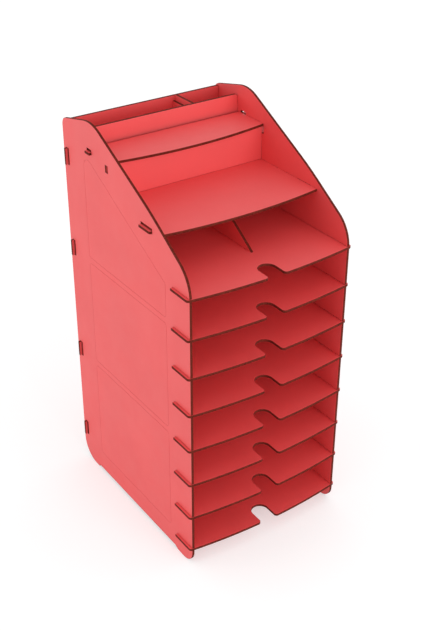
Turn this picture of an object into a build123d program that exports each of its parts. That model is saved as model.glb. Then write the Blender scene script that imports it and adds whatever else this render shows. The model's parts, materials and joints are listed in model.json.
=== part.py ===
from build123d import *
from math import radians, tan
import os

os.makedirs("parts", exist_ok=True)

# A desktop document rack cut from flat board: two shaped sides and a back,
# a column of pull-out trays, and a stepped top with a memo shelf and a pen box.
# Millimetres. X = 0 is the middle of the width, Y = 0 the front edge of the sides
# and Z = 0 the table. The last section moves the origin to the middle of the base.

# Board and fits
board = 3.5
tab_fit = 0.2
tray_side_gap = 0.3
slot_gap = 3.3
tab_proud = 3.6

# Whole rack
rack_width = 250.0
rack_depth = 307.9
back_setback = 6.6
back_bottom = 20.0

# Trays
tray_count = 8
tray_group = 3
tray_pitch = 56.8
lowest_tray_base = 26.85
tray_bow = 9.5
ear_length = 38.1
ear_radius = 4.0
notch_width = 25.5
notch_depth = 34.0
notch_mouth_radius = 4.5
rear_tab_width = 40.0
rear_tab_spacing = 140.0

# Levels above the trays
compartment_height = 53.9
riser_height = 49.5
pen_wall_height = 77.65
pen_back_height = 76.75

# Depths of the stepped top
memo_depth = 230.1
memo_bow = 10.0
narrow_depth = 57.5
narrow_rear_gap = 4.6
narrow_bow = 11.5
riser_setback = 2.4
pen_box_depth = 43.6
pen_wall_corner = 4.0

# Dividers
divider_offset = 9.7
divider_foot_reach = 10.2
divider_head_set = 75.3
divider_bow = 1.2
divider_top_tab = 30.0
divider_top_tab_set = 62.8
divider_rear_tab = 24.0
pen_divider_offset = 45.5
pen_divider_height = 69.1
pen_divider_foot_tab = 20.0
pen_divider_rear_tab = 24.0

# Tabs through the sides
memo_tab_set = 15.3
memo_tab = 26.0
memo_tab_corner = 3.0
riser_tab_drop = 1.25
riser_tab = 9.6
narrow_tab_set = 41.4
narrow_tab = 11.5
back_tab = 23.5
back_tab_rises = (26.8, 3.4, 2.7)
back_top_tab_drop = 51.8

# Outline of the sides
shoulder_rise = 24.45
shoulder_radius = 50.0
bend_set = 20.3
bend_rise = 23.35
bend_radius = 500.0
peak_set = 39.0
peak_rise = 43.25
peak_radius = 56.0
rear_rise = 0.6
rear_top_radius = 12.0
rear_bottom_radius = 33.0
front_bottom_radius = 22.0
run_in_use = 0.98
foot_rise = 3.7
front_foot_end = 38.0
front_foot_ramp = 6.0
front_foot_radius = 12.0
rear_foot_length = 42.9
rear_foot_ramp = 3.0
rear_foot_radius = 3.0

# Scored lines on the outer faces of the sides
score_margin = 54.8
score_width = 0.5
score_depth = 0.3
score_radius = 5.0
score_crest_radius = 12.0
score_above = 6.7
score_below = 2.0
crest_front_drop = 1.2
crest_rear_drop = 2.85

# Places that follow from the sizes above
outer_x = rack_width / 2
inner_x = outer_x - board
slot_width = board + slot_gap
close_slot_width = board + tab_fit
group_levels = range(0, tray_count - 1, tray_group)
back_rear = rack_depth - back_setback
back_face = back_rear - board
tray_x = inner_x - tray_side_gap
tab_x = outer_x + tab_proud


def tray_base(level):
    """Underside of the tray at a level, counted from 0 at the bottom."""
    return lowest_tray_base + level * tray_pitch


top_tray_base = tray_base(tray_count - 1)
memo_base = top_tray_base + board + compartment_height
memo_top = memo_base + board
memo_front = back_face - memo_depth
narrow_base = memo_top + riser_height
narrow_top = narrow_base + board
pen_wall_rear = back_face - pen_box_depth
pen_wall_face = pen_wall_rear - board
narrow_rear = pen_wall_face - narrow_rear_gap
narrow_front = narrow_rear - narrow_depth
riser_face = narrow_front + riser_setback
pen_wall_top = memo_top + pen_wall_height
back_top = memo_top + pen_back_height
pen_divider_x = (pen_divider_offset - board / 2, pen_divider_offset + board / 2)
pen_partition_x = (pen_divider_x[1], pen_divider_x[1] + board)
pen_slot_x = (pen_divider_x[0] - tab_fit, pen_partition_x[1] + tab_fit)
pen_rear_tab_middle = memo_top + pen_divider_height / 2
rear_tab_places = (-rear_tab_spacing / 2, rear_tab_spacing / 2)
divider_foot = memo_front - divider_foot_reach
divider_head = memo_front + divider_head_set
divider_top_tab_rear = back_face - divider_top_tab_set
divider_top_tab_span = (divider_top_tab_rear - divider_top_tab, divider_top_tab_rear)
back_tab_middles = [
    tray_base(level) + board / 2 + rise
    for level, rise in zip(group_levels, back_tab_rises)
] + [back_top - back_top_tab_drop]


def block(x_span, y_span, z_span):
    """A box between two places along each axis."""
    spans = (x_span, y_span, z_span)
    sizes = [high - low for low, high in spans]
    middle = [(low + high) / 2 for low, high in spans]
    return Pos(*middle) * Box(*sizes)


def around(middle, size):
    """The span of a size about its middle."""
    return (middle - size / 2, middle + size / 2)


def grown(span, clearance):
    """A span with a clearance added at each end."""
    return (span[0] - clearance, span[1] + clearance)


def flat_board(outline, base):
    """A level board with its underside at a height."""
    return extrude(Pos(0, 0, base) * make_face(outline), amount=board)


def rounded_outline(corners):
    """A closed outline from corners with radii, each radius limited by the runs beside it."""
    points = [Vector(*point) for point, radius in corners]
    count = len(points)
    runs = [points[(i + 1) % count] - points[i] for i in range(count)]
    turns = [runs[i - 1].get_angle(runs[i]) for i in range(count)]
    reaches = [radius * tan(radians(turn / 2)) for (point, radius), turn in zip(corners, turns)]
    shares = [
        min(1, run.length * run_in_use / max(reaches[i] + reaches[(i + 1) % count], board))
        for i, run in enumerate(runs)
    ]
    radii = [radius * min(shares[i - 1], shares[i]) for i, (point, radius) in enumerate(corners)]
    return FilletPolyline(*points, radius=radii, close=True)


def bowed_outline(half_width, front, rear, bow):
    """A plain shelf whose front edge bows forward."""
    front_edge = ThreePointArc(
        (-half_width, front), (0, front - bow), (half_width, front)
    )
    rest = Polyline(
        (half_width, front), (half_width, rear), (-half_width, rear), (-half_width, front)
    )
    return front_edge + rest


# Side panels
def side_outline():
    """The side seen from the right, as corners in Y and Z with their radii."""
    corners = [
        ((0, 0), front_bottom_radius),
        ((front_foot_end, 0), front_foot_radius),
        ((front_foot_end + front_foot_ramp, foot_rise), 0),
        ((rack_depth - rear_foot_length - rear_foot_ramp, foot_rise), 0),
        ((rack_depth - rear_foot_length, 0), rear_foot_radius),
        ((rack_depth, 0), rear_bottom_radius),
        ((rack_depth, back_top + rear_rise), rear_top_radius),
        ((narrow_front + peak_set, narrow_top + peak_rise), peak_radius),
        ((memo_front + bend_set, memo_top + bend_rise), bend_radius),
        ((0, top_tray_base + board + shoulder_rise), shoulder_radius),
    ]
    return rounded_outline(corners)


def score_outlines():
    """The closed lines scored on a side, as corners with their radii."""
    front = score_margin
    rear = rack_depth - score_margin
    lines = []
    for level, next_level in zip(group_levels, group_levels[1:]):
        low = tray_base(level) + board / 2 + score_above
        high = tray_base(next_level) + board / 2 - score_below
        lines.append([((front, low), score_radius), ((rear, low), score_radius),
                      ((rear, high), score_radius), ((front, high), score_radius)])
    low = tray_base(group_levels[-1]) + board / 2 + score_above
    crest_front = top_tray_base + board / 2 - crest_front_drop
    crest_rear = narrow_base - crest_rear_drop
    lines.append([((front, low), score_radius), ((rear, low), score_radius),
                  ((rear, crest_rear), score_crest_radius),
                  ((front, crest_front), score_radius)])
    return lines


def score_groove(corners):
    """One scored line as a ring on the outer face of the left side."""
    face = make_face(rounded_outline(corners))
    ring = offset(face, score_width / 2) - offset(face, -score_width / 2)
    return extrude(Plane.YZ.offset(-outer_x) * ring, amount=score_depth)


def side_panel(memo_slot_width):
    """The left side board, with a slot of the given width for the memo shelf's tab."""
    panel = extrude(Plane.YZ.offset(-outer_x) * make_face(side_outline()), amount=board)
    through = (-outer_x - board, -inner_x + board)
    cuts = []
    for level in range(tray_count):
        base = tray_base(level)
        cuts.append(block(through, (-board, ear_length + tab_fit), (base, base + board + tab_fit)))
    for middle in back_tab_middles:
        cuts.append(block(through, (back_rear - slot_width, back_rear),
                          grown(around(middle, back_tab), tab_fit)))
    memo_span = (memo_front + memo_tab_set, memo_front + memo_tab_set + memo_tab)
    cuts.append(block(through, grown(memo_span, tab_fit), (memo_base, memo_base + memo_slot_width)))
    narrow_span = (narrow_front + narrow_tab_set, narrow_front + narrow_tab_set + narrow_tab)
    cuts.append(block(through, grown(narrow_span, tab_fit),
                      (narrow_base, narrow_base + slot_width)))
    riser_top = narrow_base - riser_tab_drop
    riser_rear = riser_face + board
    cuts.append(block(through, (riser_rear - slot_width, riser_rear),
                      grown((riser_top - riser_tab, riser_top), tab_fit)))
    cuts.extend(score_groove(corners) for corners in score_outlines())
    return panel - cuts


# Trays
def tray(level):
    outline = ThreePointArc((-tab_x, 0), (0, -tray_bow), (tab_x, 0)) + Polyline(
        (tab_x, 0), (tab_x, ear_length), (tray_x, ear_length), (tray_x, back_face),
        (-tray_x, back_face), (-tray_x, ear_length), (-tab_x, ear_length), (-tab_x, 0),
    )
    face = make_face(outline)
    face = fillet(face.vertices().group_by(Axis.Y)[0], ear_radius)
    notch_radius = notch_width / 2
    notch_end = notch_depth - tray_bow - notch_radius
    notch = Pos(0, notch_end) * Circle(notch_radius)
    notch += Pos(0, notch_end / 2 - tray_bow) * Rectangle(notch_width, notch_end + 2 * tray_bow)
    face -= notch
    mouth = [v for v in face.vertices() if abs(v.X) < notch_width and v.Y < 0]
    face = fillet(mouth, notch_mouth_radius)
    body = extrude(Pos(0, 0, tray_base(level)) * face, amount=board)
    z_span = (tray_base(level), tray_base(level) + board)
    for place in rear_tab_places:
        body += block(around(place, rear_tab_width), (back_face, back_rear), z_span)
    return body


# Shelves of the stepped top
def side_tabs(end_x, y_span, z_span):
    """A pair of tabs through the sides that end at a distance from the middle."""
    return [block((inner_x, end_x), y_span, z_span), block((-end_x, -inner_x), y_span, z_span)]


def memo_shelf():
    shelf = flat_board(bowed_outline(inner_x, memo_front, back_face, memo_bow), memo_base)
    z_span = (memo_base, memo_top)
    tab_front = memo_front + memo_tab_set
    for tab in side_tabs(tab_x, (tab_front, tab_front + memo_tab), z_span):
        corner = tab.edges().filter_by(Axis.Z).group_by(Axis.Y)[0]
        outermost = sorted(corner, key=lambda edge: abs(edge.center().X))[-1]
        shelf += fillet(outermost, memo_tab_corner)
    for place in rear_tab_places:
        shelf += block(around(place, rear_tab_width), (back_face, back_rear), z_span)
        shelf -= block(grown(around(place, rear_tab_width), tab_fit),
                       (pen_wall_rear - slot_width, pen_wall_rear), z_span)
    divider_x = around(divider_offset, board)
    shelf -= block((divider_x[1] - slot_width, divider_x[1]), grown(divider_top_tab_span, tab_fit), z_span)
    pen_tab = around(pen_wall_rear + pen_box_depth / 2, pen_divider_foot_tab)
    shelf -= block(pen_slot_x, grown(pen_tab, tab_fit), z_span)
    return shelf


def narrow_shelf():
    shelf = flat_board(bowed_outline(inner_x, narrow_front, narrow_rear, narrow_bow), narrow_base)
    tab_front = narrow_front + narrow_tab_set
    for tab in side_tabs(tab_x, (tab_front, tab_front + narrow_tab), (narrow_base, narrow_top)):
        shelf += tab
    return shelf


def riser():
    y_span = (riser_face, riser_face + board)
    panel = block((-inner_x, inner_x), y_span, (memo_top, narrow_base))
    tab_top = narrow_base - riser_tab_drop
    for tab in side_tabs(outer_x, y_span, (tab_top - riser_tab, tab_top)):
        panel += tab
    return panel


# Pen box
def pen_front_wall():
    y_span = (pen_wall_face, pen_wall_rear)
    wall = block((-inner_x, inner_x), y_span, (memo_top, pen_wall_top))
    wall = fillet(wall.edges().filter_by(Axis.Y).group_by(Axis.Z)[-1], pen_wall_corner)
    for place in rear_tab_places:
        wall += block(around(place, rear_tab_width), y_span, (memo_base, memo_top))
    return wall


def pen_upright(x_span, height):
    """A board across the pen box, with a tab in the shelf under it and one in the back."""
    panel = block(x_span, (pen_wall_rear, back_face), (memo_top, memo_top + height))
    middle = pen_wall_rear + pen_box_depth / 2
    panel += block(x_span, around(middle, pen_divider_foot_tab), (memo_base, memo_top))
    rear_tab = around(pen_rear_tab_middle, pen_divider_rear_tab)
    panel += block(x_span, (back_face, back_rear), rear_tab)
    return panel


# Upright between the two compartments over the top tray
def compartment_divider():
    x_span = around(divider_offset, board)
    foot = top_tray_base + board
    edge = SagittaArc((divider_foot, foot), (divider_head, memo_base), divider_bow)
    rest = Polyline((divider_head, memo_base), (back_face, memo_base),
                    (back_face, foot), (divider_foot, foot))
    panel = extrude(Plane.YZ.offset(x_span[0]) * make_face(edge + rest), amount=board)
    panel += block(x_span, divider_top_tab_span, (memo_base, memo_top))
    rear_tab = around(foot + compartment_height / 2, divider_rear_tab)
    panel += block(x_span, (back_face, back_rear), rear_tab)
    return panel


# Back panel
def back_panel():
    y_span = (back_face, back_rear)
    panel = block((-inner_x, inner_x), y_span, (back_bottom, back_top))
    for middle in back_tab_middles:
        for tab in side_tabs(tab_x, y_span, around(middle, back_tab)):
            panel += tab
    slot_bases = [tray_base(level) for level in range(tray_count)] + [memo_base]
    for base in slot_bases:
        for place in rear_tab_places:
            panel -= block(grown(around(place, rear_tab_width), tab_fit), y_span,
                           (base, base + slot_width))
    divider_x = around(divider_offset, board)
    divider_tab = around(top_tray_base + board + compartment_height / 2, divider_rear_tab)
    panel -= block((divider_x[1] - slot_width, divider_x[1]), y_span, grown(divider_tab, tab_fit))
    pen_tab = around(pen_rear_tab_middle, pen_divider_rear_tab)
    panel -= block(pen_slot_x, y_span, grown(pen_tab, tab_fit))
    return panel


# Every piece by its name, the trays numbered from the top
pieces = {
    "left_side": side_panel(slot_width),
    "right_side": mirror(side_panel(close_slot_width), about=Plane.YZ),
    "back_panel": back_panel(),
    "memo_shelf": memo_shelf(),
    "riser": riser(),
    "narrow_shelf": narrow_shelf(),
    "pen_front_wall": pen_front_wall(),
    "pen_divider": pen_upright(pen_divider_x, pen_divider_height),
    "pen_partition": pen_upright(pen_partition_x, pen_wall_height),
    "compartment_divider": compartment_divider(),
}
for number in range(1, tray_count + 1):
    pieces[f"tray_{number}"] = tray(tray_count - number)

# The origin goes to the middle of the base
front_y = pieces["tray_1"].bounding_box().min.Y
middle_y = (front_y + rack_depth) / 2
for name, piece in pieces.items():
    export_step(Pos(0, -middle_y, 0) * piece, f"parts/{name}.step")
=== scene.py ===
"""The looks of a desktop document rack cut from red lacquered board.

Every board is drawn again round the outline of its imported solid, with eased and
laser-burnt edges, and is given its lacquer. The stage is a pale floor in soft light.
"""

import json
import math

import bmesh
import bpy
from mathutils import Matrix, Vector


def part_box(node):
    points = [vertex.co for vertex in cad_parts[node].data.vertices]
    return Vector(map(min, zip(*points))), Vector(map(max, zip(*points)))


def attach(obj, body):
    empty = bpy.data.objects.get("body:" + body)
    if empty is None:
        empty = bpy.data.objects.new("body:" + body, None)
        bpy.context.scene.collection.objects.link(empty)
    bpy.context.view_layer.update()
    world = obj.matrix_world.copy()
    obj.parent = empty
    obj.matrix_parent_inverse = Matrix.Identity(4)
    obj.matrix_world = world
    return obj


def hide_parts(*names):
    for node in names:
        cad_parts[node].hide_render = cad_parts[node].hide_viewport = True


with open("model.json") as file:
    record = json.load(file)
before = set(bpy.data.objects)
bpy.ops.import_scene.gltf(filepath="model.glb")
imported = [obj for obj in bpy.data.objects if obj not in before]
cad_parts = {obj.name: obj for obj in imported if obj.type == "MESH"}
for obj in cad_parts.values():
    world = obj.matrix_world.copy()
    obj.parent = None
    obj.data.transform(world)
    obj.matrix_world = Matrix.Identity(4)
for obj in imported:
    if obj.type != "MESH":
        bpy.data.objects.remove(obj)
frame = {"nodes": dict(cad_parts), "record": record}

bl_info = {
    "name": "Document rack",
    "version": (1, 0, 0),
    "blender": (4, 5, 0),
    "location": "3D View > Sidebar > Rack",
    "description": "Dresses the boards of a desktop document rack and sets its stage",
    "category": "Object",
}

BODIES = frame["record"]["behaviour"]["bodies"]
BODY_OF = {node: body for body, nodes in BODIES.items() for node in nodes}
TRAYS = sorted(node for node in frame["nodes"] if node.startswith("tray_"))
TREE_NAME = "Laser-cut board"
MILLIMETRE = 0.001
UP = Vector((0, 0, 1))
LEFT = Vector((-1, 0, 0))
RIGHT = Vector((1, 0, 0))
FRONT = Vector((0, -1, 0))
WHITE = (1.0, 1.0, 1.0, 1.0)
BLACK = (0.0, 0.0, 0.0, 1.0)

# The patterns in the finish: how often each repeats in a metre, its detail and its roughness
CLOUDS = (9.0, 4.0, 0.5)
HANDLING = (28.0, 5.0, 0.6)
BANDS = (140.0, 3.0, 0.5)
PEEL = (420.0, 2.0, 0.5)
FIBRES = (700.0, 5.0, 0.7)
RAGGED = (900.0, 4.0, 0.6)
STREAKS = (1500.0, 3.0, 0.6)
STREAK_STRETCH = 0.06

# Over which of a pattern's values a change sets in, and from what to what it goes
MIDDLE = (0.3, 0.7)
FIBRE_MARKS = (0.62, 0.8, 0.0, 0.3)
STAIN_DEPTH = (0.3, 0.7, 0.2, 0.6)
TOASTED_STREAKS = (0.38, 0.68)
BURNT_BANDS = (0.4, 0.75, 0.0, 0.5)
CHAR_LIMIT = (0.84, 0.9)
LACQUER_ROUGHNESS = (0.3, 0.75, 0.54, 0.61)
CHAR_ROUGHNESS = (0.3, 0.7, 0.72, 0.9)

# How strongly the patterns work
THICK_LACQUER = 0.95
GROOVE_STAIN = 0.4
CHAR_WANDER = 0.16
# Painted shade in the slots: how far its colour goes from the burnt colour towards the smoke colour
SLOT_SHADE_SMOKE = 0.45
FIBRE_DULLNESS = 0.05
BUMP_DEPTH = 0.03 * MILLIMETRE
LACQUER_BUMP = 0.35
PEEL_HEIGHT = 0.5
FIBRE_HEIGHT = 0.25
CHAR_BUMP = 0.5
STREAK_HEIGHT = 3.0
LACQUER_SHINE = {"IOR": 1.5, "Specular IOR Level": 0.75,
                 "Coat Weight": 0.05, "Coat Roughness": 0.25, "Coat IOR": 1.5}
CHAR_SHINE = {"IOR": 1.5, "Specular IOR Level": 0.12}

# Where the painted shade in a slot's gap sets in and ends on a tab, and the piece past which
# the boards that are cut through Y or Z have their tabs in the sides
SLOT_SHADE_START = (-0.1 * MILLIMETRE, 0.2 * MILLIMETRE)
SLOT_SHADE_END = 0.4 * MILLIMETRE
SLOT_SHADE_FADE = 1.0 * MILLIMETRE
SLOT_SHADE_PAST = {1: "riser", 2: "tray_1"}

# How the outlines are read and the boards put together
WELD = 0.001 * MILLIMETRE
SEAM = 0.002 * MILLIMETRE
LEVEL_MARGIN = 0.01 * MILLIMETRE
LEVEL_NORMAL = 0.99
FLANK = 2.0
CREASE = math.radians(50)


# Settings
class BoardSettings(bpy.types.PropertyGroup):
    """Sizes of a board's edges and the colours of its finish."""

    eased_edge: bpy.props.FloatProperty(
        name="Eased edge", description="Width of the chamfer that the heat leaves on a cut edge",
        default=0.16 * MILLIMETRE, unit="LENGTH", precision=5)
    scorched_margin: bpy.props.FloatProperty(
        name="Scorched margin", description="How far the smoke stains the lacquer beside a cut",
        default=0.6 * MILLIMETRE, unit="LENGTH", precision=5)
    groove_slope: bpy.props.FloatProperty(
        name="Groove slope", description="How far a scored groove's wall leans in towards its floor",
        default=0.1 * MILLIMETRE, unit="LENGTH", precision=5)
    lacquer: bpy.props.FloatVectorProperty(
        name="Lacquer", description="Colour of the lacquered faces",
        default=(0.81, 0.072, 0.073), size=3, subtype="COLOR", min=0, max=1)
    burnt: bpy.props.FloatVectorProperty(
        name="Burnt edge", description="Colour of the charred cut",
        default=(0.085, 0.008, 0.004), size=3, subtype="COLOR", min=0, max=1)
    toasted: bpy.props.FloatVectorProperty(
        name="Toasted edge", description="Colour of the lighter streaks in the cut",
        default=(0.19, 0.026, 0.013), size=3, subtype="COLOR", min=0, max=1)
    smoke: bpy.props.FloatVectorProperty(
        name="Smoke", description="Colour of the stain beside a cut",
        default=(0.42, 0.03, 0.026), size=3, subtype="COLOR", min=0, max=1)
    # Painted shade: how dark the part of a tab that lies in its slot is made, in place of the shade in
    # the slot's gap
    slot_shade: bpy.props.FloatProperty(
        name="Painted slot shade", description="How much char rubs off on a tab where it lies in its slot",
        default=1.0, min=0, max=1, subtype="FACTOR")


class StageSettings(bpy.types.PropertyGroup):
    """The floor, the light and the camera."""

    floor_size: bpy.props.FloatProperty(
        name="Floor", description="Length of the floor's side", default=14.0, unit="LENGTH")
    floor_colour: bpy.props.FloatVectorProperty(
        name="Floor colour", description="Colour that the floor throws back on the rack",
        default=(0.88, 0.88, 0.88), size=3, subtype="COLOR", min=0, max=1)
    floor_shade: bpy.props.FloatProperty(
        name="Floor shade", description="How strongly shade and red light show on the floor",
        default=0.6, min=0, max=1, subtype="FACTOR")
    floor_glow: bpy.props.FloatProperty(
        name="Floor glow", description="Light that lifts the floor to white where nothing shades it",
        default=0.47, min=0, max=1)
    sky_strength: bpy.props.FloatProperty(
        name="Sky", description="Strength of the even light from all sides", default=0.92)
    front_place: bpy.props.FloatVectorProperty(
        name="Front lamp", description="Where the lamp before the rack hangs",
        default=(0.3, -2.4, 1.0), size=3, subtype="TRANSLATION", unit="LENGTH")
    front_power: bpy.props.FloatProperty(
        name="Front power", description="Power of the lamp before the rack", default=19.5)
    side_place: bpy.props.FloatVectorProperty(
        name="Side lamp", description="Where the lamp beside the rack hangs",
        default=(-2.2, 1.0, 0.5), size=3, subtype="TRANSLATION", unit="LENGTH")
    side_power: bpy.props.FloatProperty(
        name="Side power", description="Power of the lamp beside the rack", default=8.5)
    lamp_size: bpy.props.FloatProperty(
        name="Lamp size", description="How wide each lamp's disk is", default=1.5, unit="LENGTH")
    camera_place: bpy.props.FloatVectorProperty(
        name="Camera", description="Where the camera stands",
        default=(-0.7322, -1.0862, 1.0753), size=3, subtype="TRANSLATION", unit="LENGTH")
    camera_heading: bpy.props.FloatProperty(
        name="Heading", description="How far the camera turns from straight ahead to the right",
        default=math.radians(34.23), subtype="ANGLE")
    camera_dip: bpy.props.FloatProperty(
        name="Dip", description="How far the camera looks down",
        default=math.radians(30.92), subtype="ANGLE")
    camera_lens: bpy.props.FloatProperty(
        name="Lens", description="Focal length on a frame 36 mm high, in millimetres", default=61.6)


# Node trees
class Socket:
    """A node's output that can stand in a Python expression."""

    def __init__(self, graph, socket):
        self.graph = graph
        self.socket = socket

    def math(self, operation, *others):
        inputs = dict(enumerate((self, *others)))
        return self.graph.node("ShaderNodeMath", {"operation": operation}, inputs)

    def __add__(self, other):
        return self.math("ADD", other)

    def __mul__(self, other):
        return self.math("MULTIPLY", other)

    def __sub__(self, other):
        return self.math("SUBTRACT", other)

    def __rsub__(self, other):
        return self.graph.node("ShaderNodeMath", {"operation": "SUBTRACT"}, {0: other, 1: self})

    __radd__ = __add__
    __rmul__ = __mul__


class Graph:
    """Adds nodes to a tree, each by its type, its settings and what its sockets hold."""

    def __init__(self, tree):
        self.tree = tree

    def find(self, sockets, key):
        if isinstance(key, int):
            return sockets[key]
        for socket in sockets:
            if socket.identifier == key:
                return socket
        return sockets[key]

    def node(self, kind, settings=None, inputs=None, outputs=(0,)):
        made = self.tree.nodes.new(kind)
        for name, value in (settings or {}).items():
            setattr(made, name, value)
        for key, value in (inputs or {}).items():
            socket = self.find(made.inputs, key)
            if isinstance(value, Socket):
                self.tree.links.new(value.socket, socket)
            else:
                socket.default_value = value
        found = [Socket(self, self.find(made.outputs, key)) for key in outputs if made.outputs]
        return found[0] if len(found) == 1 else found

    def mixed(self, factor, first, second):
        """A colour between two colours."""
        settings = {"data_type": "RGBA"}
        inputs = {"Factor_Float": factor, "A_Color": first, "B_Color": second}
        return self.node("ShaderNodeMix", settings, inputs, ["Result_Color"])

    def between(self, value, low, high, to_low=0.0, to_high=1.0):
        """A value brought smoothly from one span to another, and held at its ends."""
        settings = {"interpolation_type": "SMOOTHSTEP"}
        inputs = {"Value": value, "From Min": low, "From Max": high, "To Min": to_low, "To Max": to_high}
        return self.node("ShaderNodeMapRange", settings, inputs, ["Result"])


# Finish
def colour(values):
    """Red, green and blue as a socket's colour."""
    return (*values, 1.0)


def grey(level):
    return colour([level] * 3)


def in_slots(graph, place, axis):
    """Where the back board, behind the riser, and the shelves, over the trays, lie in the sides: the
    mask of the painted shade in the slots.
    """
    outer, inner = (abs(corner.x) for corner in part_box("left_side"))
    parts = graph.node("ShaderNodeSeparateXYZ", {}, {"Vector": place}, ["X", "Y", "Z"])
    across = parts[0].math("ABSOLUTE")
    entered = graph.between(across, *(inner + step for step in SLOT_SHADE_START))
    inside = graph.between(across, outer - SLOT_SHADE_END, outer, 1.0, 0.0)
    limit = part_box(SLOT_SHADE_PAST[axis])[1][axis]
    return entered * inside * graph.between(parts[axis], limit, limit + SLOT_SHADE_FADE)


def board_material(name, axis):
    """Red lacquer on a board's faces and charred fibre, streaked through it, on its cut edges."""
    settings = bpy.context.scene.rack_boards
    material = bpy.data.materials.new(name)
    material.use_nodes = True
    material.node_tree.nodes.clear()
    graph = Graph(material.node_tree)
    place = graph.node("ShaderNodeTexCoord", outputs=["Object"])

    def noise(pattern, at=place):
        scale, detail, roughness = pattern
        inputs = {"Vector": at, "Scale": scale, "Detail": detail, "Roughness": roughness}
        return graph.node("ShaderNodeTexNoise", {}, inputs, ["Fac"])

    def attribute(key):
        return graph.node("ShaderNodeAttribute", {"attribute_name": key}, outputs=["Fac"])

    def bumped(height, strength):
        inputs = {"Strength": strength, "Distance": BUMP_DEPTH, "Height": height}
        return graph.node("ShaderNodeBump", {}, inputs, ["Normal"])

    scorch = attribute("scorch")
    scored = attribute("scored")
    through = [1.0, 1.0, 1.0]
    through[axis] = STREAK_STRETCH
    streaked = graph.node("ShaderNodeVectorMath", {"operation": "MULTIPLY"},
                          {0: place, 1: through}, ["Vector"])

    clouds = noise(CLOUDS)
    fibres = noise(FIBRES)
    peel = noise(PEEL)
    handling = noise(HANDLING)
    streaks = noise(STREAKS, streaked)
    bands = noise(BANDS, streaked)
    ragged = noise(RAGGED)

    tones = (settings.lacquer, settings.burnt, settings.toasted, settings.smoke)
    full, burnt, toasted, smoke = (colour(tone) for tone in tones)
    deep = colour([channel * THICK_LACQUER for channel in settings.lacquer])
    lacquer = graph.mixed(graph.between(clouds, *MIDDLE), deep, full)
    lacquer = graph.mixed(graph.between(fibres, *FIBRE_MARKS), lacquer, deep)
    stain = graph.between(scorch, 0.0, 1.0) * graph.between(bands, *STAIN_DEPTH)
    lacquer = graph.mixed(stain, lacquer, smoke)
    lacquer = graph.mixed(scored * GROOVE_STAIN, lacquer, smoke)
    char = graph.mixed(graph.between(streaks, *TOASTED_STREAKS), burnt, toasted)
    char = graph.mixed(graph.between(bands, *BURNT_BANDS), char, burnt)
    cut = graph.between(scorch + (ragged - 0.5) * CHAR_WANDER, *CHAR_LIMIT)
    # Painted shade: the part of a tab that lies in its slot goes dark towards burnt and smoke, for the
    # shade in the slot's gap
    if axis in SLOT_SHADE_PAST:
        painted_slot_shade = in_slots(graph, place, axis) * settings.slot_shade * (1.0 - cut)
        char = graph.mixed(painted_slot_shade, char, graph.mixed(SLOT_SHADE_SMOKE, burnt, smoke))
        cut = cut.math("MAXIMUM", painted_slot_shade)

    dullness = graph.between(handling, *LACQUER_ROUGHNESS) + (fibres - 0.5) * FIBRE_DULLNESS
    relief = bumped(peel * PEEL_HEIGHT + fibres * FIBRE_HEIGHT, LACQUER_BUMP)
    lacquered = graph.node("ShaderNodeBsdfPrincipled", {}, {
        "Base Color": lacquer, "Roughness": dullness, "Normal": relief, **LACQUER_SHINE}, ["BSDF"])
    dullness = graph.between(streaks, *CHAR_ROUGHNESS)
    relief = bumped(streaks * STREAK_HEIGHT, CHAR_BUMP)
    charred = graph.node("ShaderNodeBsdfPrincipled", {}, {
        "Base Color": char, "Roughness": dullness, "Normal": relief, **CHAR_SHINE}, ["BSDF"])
    shader = graph.node("ShaderNodeMixShader", {}, {"Fac": cut, 1: lacquered, 2: charred})
    graph.node("ShaderNodeOutputMaterial", {}, {"Surface": shader})
    return material


def finish_for(axis):
    """The board material whose streaks run along an axis, made once."""
    name = "Red board, cut through " + "XYZ"[axis]
    return bpy.data.materials.get(name) or board_material(name, axis)


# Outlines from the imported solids
def directions(facing):
    """A board's own three directions in space: across it, up it and out of its face."""
    upward = Vector((0, 1, 0)) if facing == UP else UP
    return Matrix((upward.cross(facing), upward, facing))


def edge_loops(faces):
    """The closed edge loops round a set of faces, each with the faces on its left."""
    chosen = set(faces)
    follows = {}
    for face in faces:
        for corner in face.loops:
            if sum(other in chosen for other in corner.edge.link_faces) == 1:
                follows[corner.vert] = corner.link_loop_next.vert
    loops = []
    while follows:
        corner = next(iter(follows))
        loop = []
        while corner in follows:
            loop.append(corner)
            corner = follows.pop(corner)
        loops.append(loop)
    return loops


def inward_step(previous, point, following):
    """The step from a corner that moves both of its edges one unit to their left."""
    before = (point - previous).normalized()
    after = (following - point).normalized()
    left_before = Vector((-before.y, before.x, 0))
    left_after = Vector((-after.y, after.x, 0))
    return (left_before + left_after) / (1 + left_before.dot(left_after))


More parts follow.
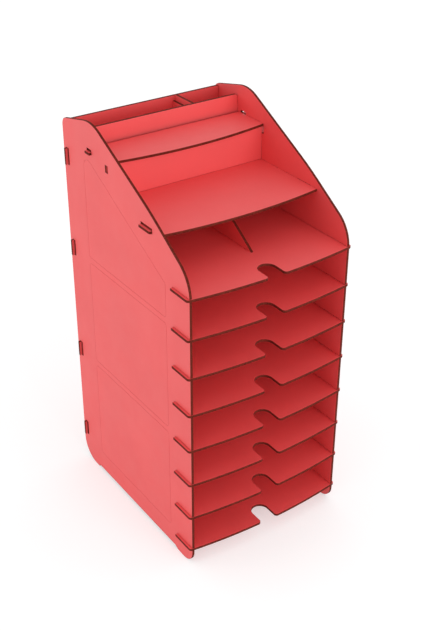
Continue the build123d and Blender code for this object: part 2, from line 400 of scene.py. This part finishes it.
def outline_mesh(node, facing):
    """A node's flat outline and scored lines as edges, with each corner's inward step."""
    turn = directions(facing)
    solid = bmesh.new()
    solid.from_mesh(frame["nodes"][node].data)
    bmesh.ops.remove_doubles(solid, verts=solid.verts, dist=WELD)
    solid.transform(turn.to_4x4())
    solid.normal_update()
    low = min(vert.co.z for vert in solid.verts)
    high = max(vert.co.z for vert in solid.verts)
    level = {face: face.calc_center_median().z for face in solid.faces
             if abs(face.normal.z) > LEVEL_NORMAL}
    underside = [face for face, height in level.items() if height < low + LEVEL_MARGIN]
    floors = [face for face, height in level.items()
              if low + LEVEL_MARGIN < height < high - LEVEL_MARGIN]
    for face in underside:
        face.normal_flip()
    points, steps, grooved, edges = [], [], [], []
    for faces, is_groove in ((underside, False), (floors, True)):
        for loop in edge_loops(faces):
            start, count = len(points), len(loop)
            flat = [Vector((vert.co.x, vert.co.y, 0)) for vert in loop]
            points += flat
            steps += [inward_step(flat[i - 1], flat[i], flat[(i + 1) % count]) for i in range(count)]
            grooved += [is_groove] * count
            edges += [(start + i, start + (i + 1) % count) for i in range(count)]
    groove_floor = level[floors[0]] - high if floors else 0.0
    solid.free()
    mesh = bpy.data.meshes.new(node + "_outline")
    mesh.from_pydata(points, edges, [])
    inward = mesh.attributes.new("inward", "FLOAT_VECTOR", "POINT")
    inward.data.foreach_set("vector", [value for step in steps for value in step])
    groove = mesh.attributes.new("groove", "BOOLEAN", "POINT")
    groove.data.foreach_set("value", grooved)
    return mesh, low, high, groove_floor


# The tree that turns an outline into a board
def board_tree():
    """Geometry nodes that raise an outline to a board with eased, scorched edges and scored lines."""
    if TREE_NAME in bpy.data.node_groups:
        return bpy.data.node_groups[TREE_NAME]
    tree = bpy.data.node_groups.new(TREE_NAME, "GeometryNodeTree")
    tree.interface.new_socket("Outline", in_out="INPUT", socket_type="NodeSocketGeometry")
    names = ["Base", "Thickness", "Eased edge", "Scorched margin", "Groove floor", "Groove slope"]
    for name in names:
        tree.interface.new_socket(name, in_out="INPUT", socket_type="NodeSocketFloat")
    tree.interface.new_socket("Finish", in_out="INPUT", socket_type="NodeSocketMaterial")
    tree.interface.new_socket("Board", in_out="OUTPUT", socket_type="NodeSocketGeometry")
    graph = Graph(tree)
    outline, base, thickness, ease, margin, floor, slope, finish = graph.node(
        "NodeGroupInput", outputs=["Outline", *names, "Finish"])

    def named(key, kind):
        settings = {"data_type": kind}
        return graph.node("GeometryNodeInputNamedAttribute", settings, {"Name": key}, ["Attribute"])

    where = graph.node("GeometryNodeInputPosition")
    vector_points = {"data_type": "FLOAT_VECTOR", "domain": "POINT"}
    corner = graph.node("GeometryNodeStoreNamedAttribute", vector_points,
                        {"Geometry": outline, "Name": "corner", "Value": where})
    grooves, outlines = graph.node("GeometryNodeSeparateGeometry", {"domain": "POINT"},
                                   {"Geometry": corner, "Selection": named("groove", "BOOLEAN")},
                                   ["Selection", "Inverted"])
    inward = named("inward", "FLOAT_VECTOR")
    drawn = named("corner", "FLOAT_VECTOR")

    def spot(inset, height):
        """Where a corner lies when it is set in from the outline, at a height."""
        scaled = {"operation": "SCALE"}
        step = graph.node("ShaderNodeVectorMath", scaled, {"Vector": inward, "Scale": inset})
        rise = graph.node("ShaderNodeCombineXYZ", {}, {"Z": height})
        flat = graph.node("ShaderNodeVectorMath", {"operation": "ADD"}, {0: drawn, 1: step})
        return graph.node("ShaderNodeVectorMath", {"operation": "ADD"}, {0: flat, 1: rise})

    def placed(geometry, where, selection=True):
        inputs = {"Geometry": geometry, "Selection": selection, "Position": where}
        return graph.node("GeometryNodeSetPosition", {}, inputs)

    def marked(geometry, key, value, selection=True):
        """A geometry whose chosen points carry a value under a name."""
        settings = {"data_type": "FLOAT", "domain": "POINT"}
        inputs = {"Geometry": geometry, "Selection": selection, "Name": key, "Value": value}
        return graph.node("GeometryNodeStoreNamedAttribute", settings, inputs)

    def rings(edges, profile, key):
        """A band of faces that follows a profile of insets, heights and marks round every loop."""
        inset, height, mark = profile[0]
        geometry = marked(placed(edges, spot(inset, height)), key, mark)
        ring = True
        for inset, height, mark in profile[1:]:
            inputs = {"Mesh": geometry, "Selection": ring, "Offset Scale": 0.0}
            geometry, ring = graph.node(
                "GeometryNodeExtrudeMesh", {"mode": "EDGES"}, inputs, ["Mesh", "Top"])
            geometry = marked(placed(geometry, spot(inset, height), ring), key, mark, ring)
        return geometry

    def together(parts):
        joined = graph.node("GeometryNodeJoinGeometry")
        for part in parts:
            tree.links.new(part.socket, joined.socket.node.inputs[0])
        return joined

    def cap(parts, height):
        """A flat face that fills loops, each given with its inset."""
        joined = together([placed(edges, spot(inset, 0.0)) for edges, inset in parts])
        curve = graph.node("GeometryNodeMeshToCurve", {}, {"Mesh": joined})
        filled = graph.node("GeometryNodeFillCurve", {}, {"Curve": curve})
        rise = graph.node("ShaderNodeCombineXYZ", {}, {"Z": height})
        return graph.node("GeometryNodeSetPosition", {}, {"Geometry": filled, "Offset": rise})

    top = base + thickness
    flank = ease * FLANK
    wall = [
        (ease + margin, top, 0.0), (ease, top, 1.0), (0.0, top - ease, 1.0), (0.0, top - flank, 1.0),
        (0.0, base + flank, 1.0), (0.0, base + ease, 1.0), (ease, base, 1.0), (ease + margin, base, 0.0),
    ]
    sunk = top + floor
    pieces = [
        rings(outlines, wall, "scorch"),
        rings(grooves, [(0.0, top, 0.0), (slope, sunk, 1.0)], "scored"),
        cap([(outlines, ease + margin), (grooves, 0.0)], top),
        cap([(outlines, ease + margin)], base),
        marked(cap([(grooves, slope)], sunk), "scored", 1.0),
    ]
    merged = graph.node("GeometryNodeMergeByDistance", {},
                        {"Geometry": together(pieces), "Distance": SEAM})
    angle = graph.node("GeometryNodeInputMeshEdgeAngle", outputs=["Unsigned Angle"])
    sharp = graph.node("FunctionNodeCompare", {"data_type": "FLOAT", "operation": "GREATER_THAN"},
                       {0: angle, 1: CREASE})
    creased = graph.node("GeometryNodeSetShadeSmooth", {"domain": "EDGE"},
                         {"Geometry": merged, "Selection": sharp, "Shade Smooth": False})
    solid = graph.node("GeometryNodeRealizeInstances", {}, {"Geometry": creased})
    solid = graph.node("GeometryNodeSetMaterial", {}, {"Geometry": solid, "Material": finish})
    graph.node("NodeGroupOutput", {}, {"Board": solid})
    return tree


def plain_mesh(worker, name):
    """The evaluated mesh of an object with modifiers, as plain data."""
    bpy.context.view_layer.update()
    evaluated = worker.evaluated_get(bpy.context.evaluated_depsgraph_get())
    mesh = bpy.data.meshes.new_from_object(evaluated)
    mesh.name = name
    return mesh


def make_board(node, facing, outline=None):
    """The dressed board that stands for a node, on the node's own body."""
    settings = bpy.context.scene.rack_boards
    mesh, low, high, groove_floor = outline or outline_mesh(node, facing)
    worker = bpy.data.objects.new(node + "_worker", mesh)
    bpy.context.scene.collection.objects.link(worker)
    tree = board_tree()
    modifier = worker.modifiers.new("Board", "NODES")
    modifier.node_group = tree
    axis = max(range(3), key=lambda i: abs(facing[i]))
    values = {
        "Base": low, "Thickness": high - low, "Eased edge": settings.eased_edge,
        "Scorched margin": settings.scorched_margin, "Groove floor": groove_floor,
        "Groove slope": settings.groove_slope, "Finish": finish_for(axis),
    }
    for item in tree.interface.items_tree:
        if item.in_out == "INPUT" and item.name in values:
            modifier[item.identifier] = values[item.name]
    board = plain_mesh(worker, node + "_board")
    bpy.data.objects.remove(worker)
    shape = bmesh.new()
    shape.from_mesh(board)
    bmesh.ops.recalc_face_normals(shape, faces=shape.faces)
    shape.transform(directions(facing).transposed().to_4x4())
    if any(not edge.is_manifold for edge in shape.edges):
        raise RuntimeError(f"{node}: the board's surface isn't closed")
    shape.to_mesh(board)
    shape.free()
    piece = bpy.data.objects.new(node + "_board", board)
    bpy.context.scene.collection.objects.link(piece)
    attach(piece, BODY_OF[node])
    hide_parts(node)
    return piece


# Operators
class RACK_OT_sides(bpy.types.Operator):
    """Makes the two side boards, with their scored lines outwards"""

    bl_idname = "rack.sides"
    bl_label = "Side boards"

    def execute(self, context):
        make_board("left_side", LEFT)
        make_board("right_side", RIGHT)
        return {"FINISHED"}


class RACK_OT_uprights(bpy.types.Operator):
    """Makes the boards that stand across the rack: the back, the riser and the pen box's wall"""

    bl_idname = "rack.uprights"
    bl_label = "Back, riser and pen wall"

    def execute(self, context):
        for node in ("back_panel", "riser", "pen_front_wall"):
            make_board(node, FRONT)
        return {"FINISHED"}


class RACK_OT_dividers(bpy.types.Operator):
    """Makes the dividers of the compartments and of the pen box"""

    bl_idname = "rack.dividers"
    bl_label = "Dividers"

    def execute(self, context):
        for node in ("compartment_divider", "pen_divider", "pen_partition"):
            make_board(node, LEFT)
        return {"FINISHED"}


class RACK_OT_shelves(bpy.types.Operator):
    """Makes the memo shelf and the narrow shelf"""

    bl_idname = "rack.shelves"
    bl_label = "Shelves"

    def execute(self, context):
        for node in ("memo_shelf", "narrow_shelf"):
            make_board(node, UP)
        return {"FINISHED"}


class RACK_OT_trays(bpy.types.Operator):
    """Makes the column of trays from one outline, each at its own level"""

    bl_idname = "rack.trays"
    bl_label = "Trays"

    def execute(self, context):
        outline, _, _, groove_floor = outline_mesh(TRAYS[0], UP)
        for node in TRAYS:
            low, high = (corner.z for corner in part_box(node))
            make_board(node, UP, (outline, low, high, groove_floor))
        return {"FINISHED"}


def white_to_the_eye(graph, seen, otherwise):
    """A colour that the camera and reflections see, and another that lights the rack."""
    rays = graph.node("ShaderNodeLightPath",
                      outputs=["Is Camera Ray", "Is Glossy Ray", "Is Transmission Ray"])
    direct = (rays[0] + rays[1] + rays[2]).math("MINIMUM", 1.0)
    return graph.mixed(direct, otherwise, seen)


class RACK_OT_stage(bpy.types.Operator):
    """Sets the floor, the light and the camera"""

    bl_idname = "rack.stage"
    bl_label = "Stage"

    def execute(self, context):
        settings = context.scene.rack_stage
        context.scene.view_settings.view_transform = "Standard"
        self.make_floor(context, settings)
        self.make_light(context, settings)
        self.make_camera(context, settings)
        return {"FINISHED"}

    def make_floor(self, context, settings):
        half = settings.floor_size / 2
        corners = [(-half, -half, 0), (half, -half, 0), (half, half, 0), (-half, half, 0)]
        mesh = bpy.data.meshes.new("floor")
        mesh.from_pydata(corners, [], [(0, 1, 2, 3)])
        material = bpy.data.materials.new("Pale floor")
        material.use_nodes = True
        material.node_tree.nodes.clear()
        graph = Graph(material.node_tree)
        tint = white_to_the_eye(graph, grey(settings.floor_shade), colour(settings.floor_colour))
        glow = white_to_the_eye(graph, grey(settings.floor_glow), BLACK)
        matt = graph.node("ShaderNodeBsdfDiffuse", {}, {"Color": tint}, ["BSDF"])
        lift = graph.node("ShaderNodeEmission", {}, {"Color": glow}, ["Emission"])
        shader = graph.node("ShaderNodeAddShader", {}, {0: matt, 1: lift})
        graph.node("ShaderNodeOutputMaterial", {}, {"Surface": shader})
        mesh.materials.append(material)
        floor = bpy.data.objects.new("floor", mesh)
        context.scene.collection.objects.link(floor)

    def make_light(self, context, settings):
        world = bpy.data.worlds.new("Even sky")
        context.scene.world = world
        world.use_nodes = True
        world.node_tree.nodes.clear()
        graph = Graph(world.node_tree)
        sky = white_to_the_eye(graph, WHITE, grey(settings.sky_strength))
        background = graph.node("ShaderNodeBackground", {}, {"Color": sky}, ["Background"])
        graph.node("ShaderNodeOutputWorld", {}, {"Surface": background})
        aim = (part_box("back_panel")[0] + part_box("back_panel")[1]) / 2
        lamps = (("front_lamp", settings.front_place, settings.front_power),
                 ("side_lamp", settings.side_place, settings.side_power))
        for name, place, power in lamps:
            lamp = bpy.data.lights.new(name, "AREA")
            lamp.shape = "DISK"
            lamp.size = settings.lamp_size
            lamp.energy = power
            holder = bpy.data.objects.new(name, lamp)
            context.scene.collection.objects.link(holder)
            holder.location = place
            holder.rotation_euler = (aim - holder.location).to_track_quat("-Z", "Y").to_euler()

    def make_camera(self, context, settings):
        data = bpy.data.cameras.new("camera")
        data.lens = settings.camera_lens
        camera = bpy.data.objects.new("camera", data)
        context.scene.collection.objects.link(camera)
        camera.location = settings.camera_place
        camera.rotation_euler = (math.pi / 2 - settings.camera_dip, 0, -settings.camera_heading)
        context.scene.camera = camera


class RACK_PT_panel(bpy.types.Panel):
    """Lists what the rack is made of"""

    bl_idname = "RACK_PT_panel"
    bl_label = "Document rack"
    bl_space_type = "VIEW_3D"
    bl_region_type = "UI"
    bl_category = "Rack"

    def draw(self, context):
        for group in (context.scene.rack_boards, context.scene.rack_stage):
            for name in group.__annotations__:
                self.layout.prop(group, name)
        for operator in OPERATORS:
            self.layout.operator(operator.bl_idname)


OPERATORS = (
    RACK_OT_sides, RACK_OT_uprights, RACK_OT_dividers, RACK_OT_shelves, RACK_OT_trays, RACK_OT_stage)
CLASSES = (BoardSettings, StageSettings, *OPERATORS, RACK_PT_panel)


def register():
    for kind in CLASSES:
        bpy.utils.register_class(kind)
    bpy.types.Scene.rack_boards = bpy.props.PointerProperty(type=BoardSettings)
    bpy.types.Scene.rack_stage = bpy.props.PointerProperty(type=StageSettings)


def unregister():
    del bpy.types.Scene.rack_boards
    del bpy.types.Scene.rack_stage
    for kind in reversed(CLASSES):
        bpy.utils.unregister_class(kind)


def main():
    """Makes everything."""
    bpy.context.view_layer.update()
    register()
    bpy.ops.rack.sides()
    bpy.ops.rack.uprights()
    bpy.ops.rack.dividers()
    bpy.ops.rack.shelves()
    bpy.ops.rack.trays()
    bpy.ops.rack.stage()


if __name__ == "__main__":
    main()
